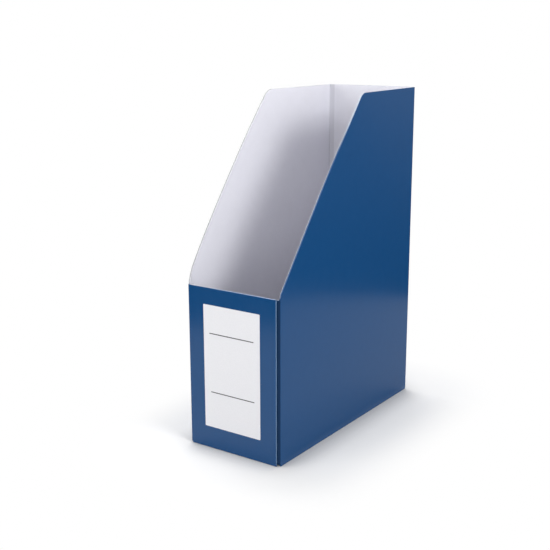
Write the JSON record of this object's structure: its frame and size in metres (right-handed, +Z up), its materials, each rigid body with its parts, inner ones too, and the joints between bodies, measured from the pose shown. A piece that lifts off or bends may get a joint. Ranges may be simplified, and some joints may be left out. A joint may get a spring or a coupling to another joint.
{
  "type": "file box",
  "caption": "Upright open-topped file box of folded laminated board, with sloped side walls, a low front with a paper label, and creases and a glued seam that let it fold flat.",
  "frame": {"origin": "on the desk, under the middle of the standing box", "axes": "+X towards the right side wall, -Y towards the low labelled front, +Z up"},
  "size_m": [0.0996, 0.2381, 0.318],
  "materials": {
    "blue_cover": "glossy film",
    "white_lining": "smooth matte",
    "board": "raw cut edge",
    "folded_board": "glossy film",
    "label_paper": "matte"
  },
  "bodies": {
    "right_wall": {"right_side_board": "board", "right_side_cover_sheet": "blue_cover", "right_side_lining": "white_lining", "right_side_bottom_fold": "folded_board", "back_right_crease": "folded_board", "front_right_crease": "folded_board"},
    "back_wall": {"back_board": "board", "back_cover_sheet": "blue_cover", "back_lining": "white_lining", "back_bottom_fold": "folded_board", "back_left_crease": "folded_board"},
    "left_wall": {"left_side_board": "board", "left_side_cover_sheet": "blue_cover", "left_side_lining": "white_lining", "left_side_bottom_fold": "folded_board", "front_left_crease": "folded_board"},
    "front_wall": {"front_board": "board", "front_cover_sheet": "blue_cover", "front_lining": "white_lining", "front_bottom_fold": "folded_board", "index_label": "label_paper"},
    "seam_flap": {"glue_flap_board": "board", "glue_flap_cover_sheet": "blue_cover", "glue_flap_lining": "white_lining"},
    "right_flap": {"right_base_flap_board": "board", "right_base_flap_cover_sheet": "blue_cover", "right_base_flap_lining": "white_lining"},
    "left_flap": {"left_base_flap_board": "board", "left_base_flap_cover_sheet": "blue_cover", "left_base_flap_lining": "white_lining"},
    "front_flap": {"front_base_flap_board": "board", "front_base_flap_cover_sheet": "blue_cover", "front_base_flap_lining": "white_lining"},
    "back_flap": {"back_base_flap_board": "board", "back_base_flap_cover_sheet": "blue_cover", "back_base_flap_lining": "white_lining"}
  },
  "joints": [
    {"name": "back_right_fold", "type": "hinge", "parent": "right_wall", "child": "back_wall", "pos_m": [0.0482, 0.1174, 0], "axis": [0, 0, 1], "range_deg": [0, 80], "deforming": ["back_right_crease"]},
    {"name": "back_left_fold", "type": "hinge", "parent": "back_wall", "child": "left_wall", "pos_m": [-0.0482, 0.1174, 0], "axis": [0, 0, -1], "range_deg": [0, 80], "deforming": ["back_left_crease"]},
    {"name": "front_left_fold", "type": "hinge", "parent": "left_wall", "child": "front_wall", "pos_m": [-0.0482, -0.1174, 0], "axis": [0, 0, 1], "range_deg": [0, 80], "deforming": ["front_left_crease"]},
    {"name": "front_right_fold", "type": "hinge", "parent": "right_wall", "child": "seam_flap", "pos_m": [0.0482, -0.1174, 0], "axis": [0, 0, 1], "range_deg": [0, 80], "deforming": ["front_right_crease"]},
    {"name": "right_flap_fold", "type": "hinge", "parent": "right_wall", "child": "right_flap", "pos_m": [0.0482, 0, 0.0056], "axis": [0, 1, 0], "range_deg": [0, 88]},
    {"name": "left_flap_fold", "type": "hinge", "parent": "left_wall", "child": "left_flap", "pos_m": [-0.0482, 0, 0.0038], "axis": [0, -1, 0], "range_deg": [0, 88]},
    {"name": "front_flap_fold", "type": "hinge", "parent": "front_wall", "child": "front_flap", "pos_m": [0, -0.1174, 0.002], "axis": [1, 0, 0], "range_deg": [0, 88]},
    {"name": "back_flap_fold", "type": "hinge", "parent": "back_wall", "child": "back_flap", "pos_m": [0, 0.1174, 0.002], "axis": [-1, 0, 0], "range_deg": [0, 88]}
  ],
  "couplings": [
    {"joint": "back_left_fold", "follows": "back_right_fold", "ratio": 1},
    {"joint": "front_left_fold", "follows": "back_right_fold", "ratio": 1},
    {"joint": "front_right_fold", "follows": "back_right_fold", "ratio": 1},
    {"joint": "right_flap_fold", "follows": "back_right_fold", "ratio": 1.1},
    {"joint": "left_flap_fold", "follows": "back_right_fold", "ratio": 1.1},
    {"joint": "front_flap_fold", "follows": "back_right_fold", "ratio": 1.1},
    {"joint": "back_flap_fold", "follows": "back_right_fold", "ratio": 1.1}
  ]
}
